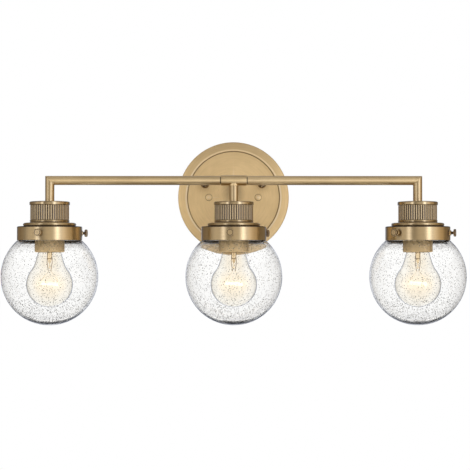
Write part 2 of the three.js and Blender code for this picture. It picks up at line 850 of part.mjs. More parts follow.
function centerWire() {
  const [x, z] = inArm(Math.PI);
  return [
    new THREE.Vector3(x, wireStart, z),
    ...bend(new THREE.Vector3(x, 0, z), forward, downward, wireBend),
    new THREE.Vector3(x, 0, wireFoot),
  ];
}

const splice = turned([
  [0, 0],
  [spliceTipRadius, 0],
  [spliceRadius, spliceLength],
  [0, spliceLength],
], screwSides).rotateX(quarter).translate(0, spliceFace + spliceLength, 0);
barSide.add(piece('wiring_harness', join(
  splice,
  wire(sideWire(-1), wireRadius),
  wire(sideWire(1), wireRadius),
  wire(centerWire(), wireRadius),
), material(0x2b2723, 0.6, 0)));

export default fixture;
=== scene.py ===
import math
import random

import bpy
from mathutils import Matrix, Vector


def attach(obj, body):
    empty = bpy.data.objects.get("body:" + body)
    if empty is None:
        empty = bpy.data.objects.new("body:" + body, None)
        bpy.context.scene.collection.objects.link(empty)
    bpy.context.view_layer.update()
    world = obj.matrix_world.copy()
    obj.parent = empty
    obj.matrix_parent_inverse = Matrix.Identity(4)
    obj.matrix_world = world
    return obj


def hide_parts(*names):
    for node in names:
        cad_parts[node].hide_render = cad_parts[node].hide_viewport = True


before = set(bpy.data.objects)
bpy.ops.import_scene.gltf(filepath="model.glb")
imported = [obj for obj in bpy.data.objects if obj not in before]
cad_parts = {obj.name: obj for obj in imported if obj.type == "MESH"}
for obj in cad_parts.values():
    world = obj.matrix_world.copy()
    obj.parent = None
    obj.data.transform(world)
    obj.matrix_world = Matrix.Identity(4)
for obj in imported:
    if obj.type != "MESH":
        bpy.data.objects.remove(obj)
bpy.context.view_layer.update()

mm = 0.001


# Camera, pale floor and soft studio light. The camera looks straight at the light from in front,
# a little below the bar. Two tall cool soft boxes stand in front, the right one the wider, in a dim
# warm room. Matt surfaces are lit evenly, as in a white tent, and the backdrop is white.

bpy.ops.object.select_all(action="DESELECT")
bpy.ops.object.camera_add(
    location=(-0.010, -2.085, -0.107), rotation=(math.radians(91.035), 0, math.radians(-0.336)))
camera = bpy.context.object
camera.name = "camera"
camera.data.sensor_width = 36
camera.data.lens = 114.8
bpy.context.scene.camera = camera
bpy.context.scene.view_settings.view_transform = "Standard"


class Socket:
    """One output of a node. A sum, product or power of sockets and numbers adds its Math nodes."""

    def __init__(self, nodes, output):
        self.nodes = nodes
        self.output = output

    def math(self, operation, *others):
        values = dict(enumerate([self, *others]))
        return self.nodes.add("ShaderNodeMath", {"operation": operation}, values)

    def __add__(self, other):
        return self.math("ADD", other)

    def __sub__(self, other):
        return self.math("SUBTRACT", other)

    def __mul__(self, other):
        return self.math("MULTIPLY", other)

    def __truediv__(self, other):
        return self.math("DIVIDE", other)

    def __neg__(self):
        return self * -1

    def __rsub__(self, other):
        return -self + other

    __radd__ = __add__
    __rmul__ = __mul__


class Nodes:
    """The shader nodes of one material, or of the world."""

    def __init__(self, owner):
        self.owner = owner
        owner.use_nodes = True
        self.tree = owner.node_tree
        self.tree.nodes.clear()

    def add(self, kind, settings=None, inputs=None, output=0):
        node = self.tree.nodes.new(kind)
        for name, value in (settings or {}).items():
            setattr(node, name, value)
        for name, value in (inputs or {}).items():
            if isinstance(value, Socket):
                self.tree.links.new(value.output, node.inputs[name])
            else:
                node.inputs[name].default_value = value
        return Socket(self, node.outputs[output]) if node.outputs else None

    def place(self):
        """Where a point is on the whole object, in metres."""
        return self.add("ShaderNodeTexCoord", output="Object")

    def step(self, value, start, end):
        """Goes smoothly from 0 to 1 as the value goes from start to end."""
        settings = {"interpolation_type": "SMOOTHSTEP"}
        return self.add("ShaderNodeMapRange", settings, {0: value, 1: start, 2: end})

    def mix(self, share, first, second):
        """A color between two colors."""
        first, second = (c if isinstance(c, Socket) else (*c, 1) for c in (first, second))
        return self.add("ShaderNodeMix", {"data_type": "RGBA"}, {0: share, 6: first, 7: second}, 2)

    def noise(self, vector, scale, detail=2.0, roughness=0.5):
        values = {"Vector": vector, "Scale": scale, "Detail": detail, "Roughness": roughness}
        return self.add("ShaderNodeTexNoise", {}, values)

    def xyz(self, vector):
        return [self.add("ShaderNodeSeparateXYZ", {}, {0: vector}, i) for i in range(3)]

    def vector(self, *values):
        return self.add("ShaderNodeCombineXYZ", {}, dict(enumerate(values)))

    def bump(self, strength, depth, height):
        """Fine unevenness of a surface, with its depth in millimetres."""
        values = {"Strength": strength, "Distance": depth * mm, "Height": height}
        return self.add("ShaderNodeBump", {}, values)

    def principled(self, values):
        """Ends a material with its shader, and gives the material back."""
        shader = self.add("ShaderNodeBsdfPrincipled", {}, values)
        self.add("ShaderNodeOutputMaterial", {}, {0: shader})
        return self.owner


world = bpy.data.worlds.new("studio")
bpy.context.scene.world = world
sky = Nodes(world)
east, north, up = sky.xyz(sky.add("ShaderNodeTexCoord"))
azimuth = east.math("ARCTAN2", -north)
height = up.math("ARCSINE")


def band(value, middle, spread):
    """Light that fades both ways from its middle, in degrees."""
    away = (value - math.radians(middle)) / math.radians(spread)
    return (-(away * away)).math("EXPONENT")


def between(value, low, high, soft=8):
    """Light from one angle to another, with soft edges, in degrees."""
    rise = sky.step(value, math.radians(low - soft), math.radians(low + soft))
    return rise * sky.step(value, math.radians(high + soft), math.radians(high - soft))


def shone(red, green, blue, strength):
    """Light of one color, as strong in each direction as the strength says."""
    return sky.add("ShaderNodeBackground", {}, {"Color": (red, green, blue, 1), "Strength": strength})


left_box = band(azimuth, -38, 7) * 1.7
right_box = band(azimuth, 34, 8) * 2.2 + band(azimuth, 47, 22) * 0.8
back_light = between(azimuth.math("ABSOLUTE"), 158, 400) * band(height, 0, 50) * 0.45
cool_light = (left_box + right_box) * band(height, 0, 60) + back_light
left_wall = band(azimuth, -64, 31) * band(height, 3, 22) * 1.15
front_fill = band(azimuth, 4, 25) * band(height, -4, 40) * 0.9
overhead = between(height, 40, 200) * 0.36
plain_light = left_wall + front_fill + overhead
right_wall = between(azimuth, 50, 99) * band(height, 3, 30) * 0.75
far_walls = between(azimuth, -150, -100) * 0.24 + between(azimuth, 100, 150) * 0.27
from_below = between(height, -200, -40) * 0.12
warm_light = right_wall + far_walls * band(height, 0, 50) + from_below
cool_and_plain = sky.add("ShaderNodeAddShader", {}, {
    0: shone(1.0, 1.08, 1.3, cool_light), 1: shone(1.0, 0.97, 0.94, plain_light)})
room = sky.add("ShaderNodeAddShader", {}, {0: cool_and_plain, 1: shone(1.0, 0.81, 0.56, warm_light)})
tent = shone(1.0, 0.98, 0.95, 1.3)
matt = sky.add("ShaderNodeLightPath", output="Is Diffuse Ray")
studio = sky.add("ShaderNodeMixShader", {}, {0: matt, 1: room, 2: tent})

# The backdrop is what is seen past the light, or through glass with no reflection on the way. After
# a reflection it still shows for the most part, while fewer than four faces of glass are passed.
direct = sky.add("ShaderNodeLightPath", output="Is Camera Ray")
through = sky.add("ShaderNodeLightPath", output="Is Transmission Ray")
mirrored = sky.add("ShaderNodeLightPath", output="Glossy Depth")
scattered = sky.add("ShaderNodeLightPath", output="Diffuse Depth")
passed = sky.add("ShaderNodeLightPath", output="Transmission Depth")
unbroken = (mirrored + scattered).math("LESS_THAN", 0.5)
in_glass = passed.math("LESS_THAN", 3.5)
seen = direct.math("MAXIMUM", through * unbroken.math("MAXIMUM", in_glass * 0.8))
shown = sky.add("ShaderNodeMixShader", {}, {0: seen, 1: studio, 2: shone(1, 1, 1, 1.0)})
sky.add("ShaderNodeOutputWorld", {}, {"Surface": shown})

bpy.ops.mesh.primitive_circle_add(vertices=96, radius=2.2, fill_type="NGON", location=(0, 0, -1.2))
floor = bpy.context.object
floor.name = "floor"
floor.visible_glossy = False
floor.visible_diffuse = False
ground = Nodes(bpy.data.materials.new("pale_floor"))
floor.data.materials.append(ground.principled({
    "Base Color": ground.mix(ground.noise(ground.place(), 6.0), (0.8, 0.8, 0.79), (0.84, 0.84, 0.83)),
    "Roughness": 0.9,
    "Emission Color": (1, 1, 1, 1),
    "Emission Strength": 0.45,
}))


# Wall plate. A spun brass pan: a rolled outer ring that slopes up to a fine lip round a sunken flat
# disc. The arm's tail, two studs and two rivets go through the disc. Brushed and lacquered, with
# painted shade round the arm, towards the top and under the lip, and a painted highlight on the lip.

plate_drop = 18
projection = 120
lamp_spacing = 241.3
disc_face = 22.9
disc_back = 21.4
stud_out = 39
rivet_out = 34
arm_hole = 5.3


def alone(piece):
    """Selects one piece and nothing else."""
    bpy.ops.object.select_all(action="DESELECT")
    piece.select_set(True)
    bpy.context.view_layer.objects.active = piece


def copied(piece, name):
    """A copy of a piece, with a mesh of its own."""
    alone(piece)
    bpy.ops.object.duplicate()
    copy = bpy.context.object
    copy.name = name
    return copy


def corner(radius, height, size, start, end, steps=5):
    """A rounded corner of an outline, from one angle in degrees to another about its centre."""
    angles = [math.radians(start + (end - start) * i / steps) for i in range(steps + 1)]
    return [(radius + size * math.cos(a), height + size * math.sin(a)) for a in angles]


def turned(name, outline, steps=96):
    """A piece turned about Z from an outline of radius and height in millimetres.
    The outline starts and ends on the axis, or ends where it starts."""
    bpy.ops.object.select_all(action="DESELECT")
    bpy.ops.mesh.primitive_plane_add(size=mm)
    piece = bpy.context.object
    piece.name = name
    bpy.ops.object.mode_set(mode="EDIT")
    bpy.ops.mesh.merge(type="CENTER")
    bpy.ops.transform.translate(value=(outline[0][0] * mm, 0, outline[0][1] * mm))
    for (r0, h0), (r1, h1) in zip(outline, outline[1:]):
        along = ((r1 - r0) * mm, 0, (h1 - h0) * mm)
        bpy.ops.mesh.extrude_region_move(TRANSFORM_OT_translate={"value": along})
    bpy.ops.mesh.select_all(action="SELECT")
    bpy.ops.mesh.spin(steps=steps, angle=2 * math.pi, center=(0, 0, 0), axis=(0, 0, 1))
    bpy.ops.mesh.select_all(action="SELECT")
    bpy.ops.mesh.remove_doubles(threshold=1e-6)
    bpy.ops.mesh.normals_make_consistent(inside=False)
    bpy.ops.object.mode_set(mode="OBJECT")
    return piece


def finished(piece, kind, **settings):
    """Puts a modifier on a piece and applies it."""
    alone(piece)
    modifier = piece.modifiers.new(kind.title(), kind)
    for name, value in settings.items():
        setattr(modifier, name, value)
    bpy.ops.object.modifier_apply(modifier=modifier.name)


def eased(piece, width, angle=28, segments=3):
    """Takes the sharpness off a piece's edges."""
    settings = {"limit_method": "ANGLE", "angle_limit": math.radians(angle)}
    finished(piece, "BEVEL", width=width * mm, segments=segments, **settings)


def drilled(piece, radius, place, length, turn=(0, 0, 0)):
    """Cuts a round hole through a piece."""
    spot = [v * mm for v in place]
    bpy.ops.mesh.primitive_cylinder_add(
        vertices=32, radius=radius * mm, depth=length * mm, location=spot, rotation=turn)
    drill = bpy.context.object
    finished(piece, "BOOLEAN", operation="DIFFERENCE", solver="EXACT", object=drill)
    bpy.data.objects.remove(drill)


def put(piece, place=(0, 0, 0), turn=(0, 0, 0)):
    """Moves and turns a piece, and keeps its place in its mesh."""
    alone(piece)
    piece.location = [v * mm for v in place]
    piece.rotation_euler = [math.radians(v) for v in turn]
    bpy.ops.object.transform_apply(location=True, rotation=True, scale=True)


def dress(piece, finish, body, slot, *nodes, smooth=32):
    """Gives a piece its finish, if it has none yet, and fixes it to the body that carries it."""
    alone(piece)
    if finish:
        piece.data.materials.clear()
        piece.data.materials.append(finish)
    bpy.ops.object.shade_smooth_by_angle(angle=math.radians(smooth))
    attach(piece, body)
    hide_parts(*nodes)


def brass(name, around, roughness=0.35, grain=0.9, grain_turn=0.25, coat=0.8, metal=1.0, overall_shade=0.0,
          tone_and_light=1.0, painted_shade=None, painted_highlight=None):
    """Satin brass, brushed round an axis: the plate's, a lamp's or the bar's. It is darker brown in its
    corners as painted shade and worn brighter on its edges, under a thin lacquer. The painted shade mask
    says where else it is brown as painted shade, and the painted highlight mask where else it is bright
    as a painted highlight. Overall shade darkens all of it as painted shade, and tone and light scales
    its brightness up or down as painted light."""
    nodes = Nodes(bpy.data.materials.new(name))
    place = nodes.place()
    x, y, z = nodes.xyz(place)
    if around == "plate":
        first, second, along = x, z + plate_drop * mm, y
    elif around == "bar":
        first, second, along = y + projection * mm, z, x
    else:
        lamp = (x / (lamp_spacing * mm)).math("ROUND") * (lamp_spacing * mm)
        first, second, along = x - lamp, y + projection * mm, z
    radius = (first * first + second * second + 1e-8).math("SQRT")
    around_x, around_y = first / radius * 2.7 + 0.5, second / radius * 2.7 + 0.5
    groove = along + radius
    fine = nodes.noise(nodes.vector(around_x, around_y, groove * 3600), 1.0, 2.0)
    broad = nodes.noise(nodes.vector(around_x, around_y, groove * 620), 1.0, 3.0)
    cloud = nodes.noise(place, 24.0, 3.0)
    speck = nodes.noise(place, 420.0, 2.0)
    bend = nodes.add("ShaderNodeNewGeometry", output="Pointiness")
    # Painted shade: concave corners go dark brown, and the painted shade mask adds more places.
    brown = nodes.step(bend, 0.47, 0.40) * 0.7
    if painted_shade:
        brown = brown.math("MAXIMUM", painted_shade(nodes, first, second, radius, along))
    # Worn edges go brighter, and the painted highlight mask adds painted highlights.
    edge = nodes.step(bend, 0.55, 0.66) * 0.3
    if painted_highlight:
        edge = edge.math("MAXIMUM", painted_highlight(nodes, first, second, radius, along))
    # Overall shade mixes the whole colour towards dark brown as painted shade, and tone and light scales
    # it as painted light.
    dull, bright = [
        tuple(tone_and_light * (a + (b - a) * overall_shade) for a, b in zip(clean, (0.15, 0.09, 0.042)))
        for clean in ((0.575, 0.412, 0.2), (0.63, 0.458, 0.226))]
    color = nodes.mix(nodes.step(cloud, 0.35, 0.65), dull, bright)
    color = nodes.mix(nodes.step(broad, 0.3, 0.75) * 0.14, color, (0.40, 0.275, 0.135))
    color = nodes.mix(nodes.step(speck, 0.62, 0.74) * 0.07, color, (0.30, 0.19, 0.09))
    color = nodes.mix(brown, color, (0.095, 0.06, 0.03))
    color = nodes.mix(edge, color, (0.82, 0.66, 0.42))
    rough = fine * 0.05 + broad * 0.06 + cloud * 0.05 + brown * 0.12 + (roughness - 0.08)
    return nodes.principled({
        "Base Color": color,
        "Metallic": metal,
        "Roughness": rough,
        "Normal": nodes.bump(0.2, 0.02, fine + broad * 1.5),
        "Anisotropic": grain,
        "Anisotropic Rotation": grain_turn,
        "Coat Weight": coat,
        "Coat Roughness": 0.16,
    })


def plate_shade(nodes, first, second, radius, along):
    """Painted shade on the plate: brown round the arm and below it, where the stem's shadow and
    reflection fall, darker towards its top and most on the outer ring there, and in the corner under
    its lip.
    """
    across, down = first / (15 * mm), (second - 8 * mm) / (22 * mm)
    # A painted shadow and reflection of the arm and stem.
    dark_patch = nodes.step((across * across + down * down).math("SQRT"), 1.3, 0.3) * 0.45
    # Painted shade in the corner under the lip.
    under_lip = nodes.step(radius, 62.2 * mm, 62.9 * mm) * nodes.step(radius, 64.0 * mm, 63.5 * mm)
    # Painted shade: darker towards the top, most on the outer ring.
    top_shade = nodes.step(second, 0, 75 * mm) * (nodes.step(radius, 65 * mm, 67 * mm) * 0.25 + 0.15)
    return dark_patch.math("MAXIMUM", under_lip * 0.7).math("MAXIMUM", top_shade)


def plate_lip_highlight(nodes, first, second, radius, along):
    """A painted highlight on the plate's fine lip, brightest below its top."""
    lip = nodes.step(radius, 63.9 * mm, 64.5 * mm) * nodes.step(radius, 66.4 * mm, 65.6 * mm)
    return lip * (nodes.step(second, 62 * mm, 20 * mm) * 0.6 + 0.4)


# Tone and light 1.32 brightens the plate as painted light.
plate_brass = brass(
    "satin_brass_plate", "plate", roughness=0.5, grain=0.0, coat=0.15, metal=0.55, tone_and_light=1.32,
    painted_shade=plate_shade, painted_highlight=plate_lip_highlight)
plate = turned("wall_plate", [
    (0, disc_back),
    (65, disc_back),
    (65, 23.9),
    (74.7, 22.9),
    (74.7, 0),
    (76.2, 0),
    *corner(73.2, 21.4, 3, 0, 86, 8),
    *corner(64.5, 24.4, 1, 92, 180, 6),
    *corner(63.1, disc_face + 0.4, 0.4, 0, -90, 3),
    (42, disc_face),
    (20, disc_face),
    (0, disc_face),
], steps=160)
drilled(plate, arm_hole, (0, plate_drop, disc_face), 10)
for side in (-1, 1):
    drilled(plate, 2.3, (stud_out * side, plate_drop, disc_face), 10)
    drilled(plate, 2.5, (rivet_out * side, 0, disc_face), 10)
put(plate, (0, 0, -plate_drop), (90, 0, 0))
dress(plate, plate_brass, "fixture", "satin_brass", "backplate")


# Ball knobs. Two solid turned brass balls on a short neck, each bored and threaded. They screw onto
# the studs and clamp the plate to the wall, so each rides on a body of its own.

# Painted shade: overall shade 0.9 darkens the knobs almost to dark brown, for the shade under the bar
# and the dark they reflect.
knob_brass = brass("satin_brass_knob", "plate", roughness=0.22, grain=0.0, overall_shade=0.9)
knob = turned("ball_knob", [
    (0, 31.2),
    (2.3, 31.2),
    (2.3, 23.2),
    (3.4, 23.2),
    (3.6, 23.4),
    (3.6, 25.9),
    *corner(3.95, 26.35, 0.35, 180, 90, 3),
    *corner(0, 32.124, 6.1, -51, 90, 22),
], steps=64)
for side, x in (("left", -stud_out), ("right", stud_out)):
    ball = copied(knob, "plate_knob_" + side)
    put(ball, (x, 0, 0), (90, 0, 0))
    dress(ball, knob_brass, "knob_" + side, "satin_brass", "ball_knob_" + side)
bpy.data.objects.remove(knob)


# Rivets. Two round-headed brass rivets through the disc, which hold the stiffener behind it. Their
# tails are set over on the stiffener's back.


def from_rivet(nodes, first, second):
    """How far a place is from the middle of its rivet."""
    across = first.math("ABSOLUTE") - rivet_out * mm
    return (across * across + second * second).math("SQRT")


def rivet_rim_shade(nodes, first, second, radius, along):
    """Painted shade: the rim of each rivet is brown."""
    return nodes.step(from_rivet(nodes, first, second), 3.7 * mm, 4.5 * mm) * 0.6


def rivet_crown_highlight(nodes, first, second, radius, along):
    """A painted highlight on the crown of each rivet."""
    return nodes.step(from_rivet(nodes, first, second), 3.2 * mm, 1.4 * mm) * 0.5


rivet_brass = brass(
    "satin_brass_rivet", "plate", roughness=0.5, grain=0.0, coat=0.15, metal=0.55, tone_and_light=1.35,
    painted_shade=rivet_rim_shade, painted_highlight=rivet_crown_highlight)
rivet = turned("rivet", [
    (0, 18.5),
    *corner(3.2, 18.9, 0.4, -90, 0, 3),
    (3.6, 19.3),
    (2.2, 19.3),
    (2.2, 23.0),
    (4.6, 23.0),
    (4.9, 23.15),
    *corner(0, 16.4, 8.3, 54, 90, 10),
], steps=48)
for side, x in (("left", -rivet_out), ("right", rivet_out)):
    head = copied(rivet, "plate_rivet_" + side)
    put(head, (x, 0, -plate_drop), (90, 0, 0))
    dress(head, rivet_brass, "fixture", "satin_brass", "plate_button_" + side)
bpy.data.objects.remove(rivet)


# Crossbar, stiffener, nut and studs. The zinc plated steel behind the plate: a cross of two straps
# with slots for the outlet box screws, two studs screwed into it, a stamped stiffener behind the
# disc, and the hexagon nut that draws the arm up tight.


def plated_steel(name, color):
    """Zinc plating: faint crystals in the gray, and small scuffs in its shine."""
    nodes = Nodes(bpy.data.materials.new(name))
    place = nodes.place()
    crystals = nodes.add("ShaderNodeTexVoronoi", {}, {"Vector": place, "Scale": 260.0}, "Color")
    gray = nodes.xyz(crystals)[0]
    scuff = nodes.noise(place, 900.0, 4.0)
    dark, light = [c * 0.82 for c in color], [min(c * 1.12, 1) for c in color]
    return nodes.principled({
        "Base Color": nodes.mix(gray, tuple(dark), tuple(light)),
        "Metallic": 1.0,
        "Roughness": gray * 0.1 + scuff * 0.15 + 0.24,
        "Normal": nodes.bump(0.2, 0.02, scuff),
    })


def stamped(name, corners, thickness):
    """A flat piece stamped from sheet, by its corners in millimetres, with its lower face at 0."""
    bpy.ops.object.select_all(action="DESELECT")
    bpy.ops.mesh.primitive_circle_add(vertices=len(corners), radius=mm, fill_type="NGON")
    piece = bpy.context.object
    piece.name = name
    for point, (x, y) in zip(piece.data.vertices, corners):
        point.co = (x * mm, y * mm, 0)
    bpy.ops.object.mode_set(mode="EDIT")
    bpy.ops.mesh.select_all(action="SELECT")
    along = (0, 0, thickness * mm)
    bpy.ops.mesh.extrude_region_move(TRANSFORM_OT_translate={"value": along})
    bpy.ops.mesh.select_all(action="SELECT")
    bpy.ops.mesh.normals_make_consistent(inside=False)
    bpy.ops.object.mode_set(mode="OBJECT")
    return piece


def threaded(radius, start, end, pitch, depth):
    """The crests and roots of a thread's outline."""
    count = int(abs(end - start) / pitch * 2)
    return [(radius - (i % 2) * depth, start + (end - start) * i / count) for i in range(count + 1)]


zinc = plated_steel("zinc_plating", (0.60, 0.60, 0.57))
half_strap = 9
arm_reach = 48
leg_reach = 50.75
earth_out = 22
quarter = [(arm_reach, half_strap), (half_strap, half_strap), (half_strap, leg_reach)]
crossbar = stamped("box_crossbar", [
    *quarter,
    *[(-x, y) for x, y in quarter[::-1]],
    *[(-x, -y) for x, y in quarter],
    *[(x, -y) for x, y in quarter[::-1]],
], 2)
for x in (-stud_out, stud_out, -earth_out):
    drilled(crossbar, 2.3, (x, 0, 1), 6)
for side in (-1, 1):
    for y in (34.9, 37.1, 39.3, 41.5, 43.0, 44.45):
        drilled(crossbar, 2.3, (0, y * side, 1), 6)
eased(crossbar, 0.3, segments=2)
put(crossbar, turn=(90, 0, 0))
dress(crossbar, zinc, "fixture", "zinc_steel", "crossbar")

stiffener = stamped("disc_stiffener", [
    (-42, -26), (42, -26), (42, -10), (14, 12), (-14, 12), (-42, -10),
], 1.5)
drilled(stiffener, arm_hole, (0, 0, 1), 6)
for side in (-1, 1):
    drilled(stiffener, 2.5, (rivet_out * side, -plate_drop, 1), 6)
eased(stiffener, 0.3, segments=2)
put(stiffener, (0, -19.6, 0), (90, 0, 0))
dress(stiffener, zinc, "fixture", "zinc_steel", "stiffener")

stud = turned("stud", [
    (0, 0.3),
    (1.8, 0.3),
    (2, 0.5),
    (2, 2.3),
    (3.8, 2.3),
    (4, 2.5),
    (4, 4.6),
    (3.8, 4.8),
    *threaded(2, 4.8, 30.4, 0.8, 0.25),
    (1.6, 30.9),
    (0, 30.9),
], steps=40)
for side, x in (("left", -stud_out), ("right", stud_out)):
    bolt = copied(stud, "plate_stud_" + side)
    put(bolt, (x, 0, 0), (90, 0, 0))
    dress(bolt, zinc, "fixture", "zinc_steel", "mounting_stud_" + side, smooth=20)
bpy.data.objects.remove(stud)


def hexagon_nut(name, across, height, hole):
    """A six-sided nut with its lower face at 0, its corners turned off at both ends."""
    angles = [math.radians(60 * i) for i in range(6)]
    radius = across / math.sqrt(3)
    face, wide = across * 0.47, radius + 0.5
    slope = (wide - face) * 0.55
    nut = stamped(name, [(radius * math.cos(a), radius * math.sin(a)) for a in angles], height)
    chamfer = turned("chamfer", [
        (0, -0.01),
        (face, -0.01),
        (wide, slope),
        (wide, height - slope),
        (face, height + 0.01),
        (0, height + 0.01),
    ], steps=64)
    finished(nut, "BOOLEAN", operation="INTERSECT", solver="EXACT", object=chamfer)
    bpy.data.objects.remove(chamfer)
    drilled(nut, hole, (0, 0, height / 2), height + 4)
    return nut


arm_nut = hexagon_nut("arm_lock_nut", 17, 5, arm_hole)
put(arm_nut, (0, -14.3, 0), (90, 0, 0))
dress(arm_nut, zinc, "fixture", "zinc_steel", "arm_nut", smooth=20)


# Earth screw. A green slotted screw in the crossbar, for the bare wire of the house supply.

earth = turned("earth_screw", [
    (0, 0.3),
    *threaded(2, 0.3, 2.3, 0.7, 0.2),
    (4.0, 2.3),
    (4.2, 2.5),
    (4.2, 4.2),
    *corner(3.7, 4.2, 0.5, 0, 90, 3),
    (0, 4.7),
], steps=48)
bpy.ops.object.select_all(action="DESELECT")
bpy.ops.mesh.primitive_cube_add(size=1, location=(0, 0, 4.4 * mm), scale=(12 * mm, 0.9 * mm, 1.6 * mm))
slot_cutter = bpy.context.object
finished(earth, "BOOLEAN", operation="DIFFERENCE", solver="EXACT", object=slot_cutter)
bpy.data.objects.remove(slot_cutter)
put(earth, (-earth_out, 0, 0), (90, 0, 0))
dress(earth, plated_steel("green_plating", (0.09, 0.33, 0.14)), "fixture", "green_screw", "ground_screw")


# Arm. A short level tube from the disc to the back of the tee, hidden behind the tee from in front.
# Its threaded tail goes through the disc into the nut, and the wires run through its bore.


def joint_shade(nodes, first, second, radius, along):
    """Painted shade in the gap between each tube and the tee."""
    away = along.math("ABSOLUTE")
    return nodes.step(away, 16.6 * mm, 17.0 * mm) * nodes.step(away, 18.3 * mm, 17.9 * mm) * 0.9


# Tone and light 1.25 brightens the bar as painted light.
bar_brass = brass("satin_brass_bar", "bar", grain_turn=0.0, tone_and_light=1.25, painted_shade=joint_shade)
stem_brass = brass("satin_brass_stem", "lamp", roughness=0.33)
arm = turned("plate_arm", [
    (3.6, 12.3),
    (4.8, 12.3),
    *threaded(5, 12.5, 23.2, 1.0, 0.3),
    (5.6, 23.2),
    (6, 23.6),
    (6, 112.2),
    (5.7, 112.55),
    (4.8, 112.55),
    (4.8, 29.2),
    (3.6, 29.2),
    (3.6, 12.3),
], steps=64)
put(arm, turn=(90, 0, 0))
dress(arm, stem_brass, "fixture", "satin_brass", "support_arm", smooth=20)


# Tee. The cast and turned brass joint in the middle of the bar: a plain barrel with a boss below for
# the middle stem and one behind for the arm. Spigots inside its four tubes hold them.

tee = turned("bar_tee", [
    (3.6, -27),
    (4.5, -27),
    (4.5, -17),
    *corner(6.25, -16.5, 0.5, -90, 0, 4),
    *corner(6.25, 16.5, 0.5, 0, 90, 4),
    (4.5, 17),
    (4.5, 27),
    (3.6, 27),
    (3.6, -27),
], steps=96)
put(tee, turn=(0, 90, 0))
branch_outline = [
    (0, 0),
    (4.5, 0),
    (4.5, 17.15),
    (0, 17.15),
]
boss_outline = [
    (0, 0),
    (6, 0),
    *corner(5.7, 6.85, 0.3, 0, 90, 3),
    (0, 7.15),
]
for turn in ((180, 0, 0), (-90, 0, 0)):
    for outline in (boss_outline, branch_outline):
        limb = turned("limb", outline, steps=64)
        put(limb, turn=turn)
        finished(tee, "BOOLEAN", operation="UNION", solver="EXACT", object=limb)
        bpy.data.objects.remove(limb)
drilled(tee, 3.6, (0, 0, 0), 60, (0, math.radians(90), 0))
drilled(tee, 3.6, (0, 0, -10), 20)
drilled(tee, 3.6, (0, 10, 0), 20, (math.radians(90), 0, 0))
put(tee, (0, -projection, 0))
dress(tee, bar_brass, "fixture", "satin_brass", "center_tee")


# Bar. Two lengths of brass tube, one each side of the tee, each cut at 45 degrees and brazed to a
# short upright stem over its lamp. A threaded nipple fixed in the stem holds the lamp.

tube = 6
tube_wall = 1.2
stem_drop = 27
bar_start = 17.8
mitre_normal = (1, 0, -1)
spare = 8
level_end = lamp_spacing + spare


def joined(piece, *others):
    """Makes one mesh of a piece and others."""
    alone(piece)
    for other in others:
        other.select_set(True)
    bpy.ops.object.join()


bpy.ops.object.select_all(action="DESELECT")
bpy.ops.mesh.primitive_cylinder_add(
    vertices=64, radius=tube * mm, depth=(level_end - bar_start) * mm, end_fill_type="NOTHING",
    location=((level_end + bar_start) / 2 * mm, 0, 0), rotation=(0, math.radians(90), 0))
bar = bpy.context.object
bar.name = "bar_half"
bpy.ops.object.mode_set(mode="EDIT")
bpy.ops.mesh.select_all(action="SELECT")
bpy.ops.mesh.bisect(plane_co=(lamp_spacing * mm, 0, 0), plane_no=mitre_normal, clear_outer=True)
bpy.ops.object.mode_set(mode="OBJECT")
bpy.ops.object.select_all(action="DESELECT")
bpy.ops.mesh.primitive_cylinder_add(
    vertices=64, radius=tube * mm, depth=(stem_drop + spare) * mm, end_fill_type="NOTHING",
    location=(lamp_spacing * mm, 0, (spare - stem_drop) / 2 * mm))
stem = bpy.context.object
bpy.ops.object.mode_set(mode="EDIT")
bpy.ops.mesh.select_all(action="SELECT")
bpy.ops.mesh.bisect(plane_co=(lamp_spacing * mm, 0, 0), plane_no=mitre_normal, clear_inner=True)
bpy.ops.object.mode_set(mode="OBJECT")
joined(bar, stem)
bpy.ops.object.transform_apply(location=True, rotation=True, scale=True)
bpy.ops.object.mode_set(mode="EDIT")
bpy.ops.mesh.select_all(action="SELECT")
bpy.ops.mesh.remove_doubles(threshold=2e-6)
bpy.ops.mesh.normals_make_consistent(inside=False)
bpy.ops.mesh.select_all(action="DESELECT")
bpy.ops.object.mode_set(mode="OBJECT")
on_mitre = {v.index for v in bar.data.vertices if abs(v.co.x - lamp_spacing * mm - v.co.z) < 2e-6}
for line in bar.data.edges:
    line.select = set(line.vertices) <= on_mitre
bpy.ops.object.mode_set(mode="EDIT")
bpy.ops.mesh.select_mode(type="EDGE")
bpy.ops.mesh.bevel(offset=0.7 * mm, segments=4, affect="EDGES")
bpy.ops.mesh.select_mode(type="VERT")
bpy.ops.object.mode_set(mode="OBJECT")
finished(bar, "SOLIDIFY", thickness=tube_wall * mm, offset=-1.0, use_even_offset=True)
nipple_outline = [
    (3.6, -39.7),
    (4.7, -39.7),
    *threaded(5, -39.4, -27, 1.0, 0.3),
    (4.78, -27),
    (4.78, -21),
    (3.6, -21),
    (3.6, -39.7),
]
nipple = turned("nipple", nipple_outline, steps=64)
put(nipple, (lamp_spacing, 0, 0))
joined(bar, nipple)
for side, turn in (("right", 0), ("left", 180)):
    half_bar = copied(bar, "bar_tube_" + side)
    put(half_bar, (0, -projection, 0), (0, 0, turn))
    dress(half_bar, bar_brass, "fixture", "satin_brass", "bar_" + side, smooth=24)
    half_bar.data.materials.append(stem_brass)
    for face in half_bar.data.polygons:
        sideways = abs(face.center.x) - lamp_spacing * mm
        face.material_index = int(sideways > face.center.z)
bpy.data.objects.remove(bar)


# Middle stem. The short upright tube below the tee, with the same threaded nipple at its foot.

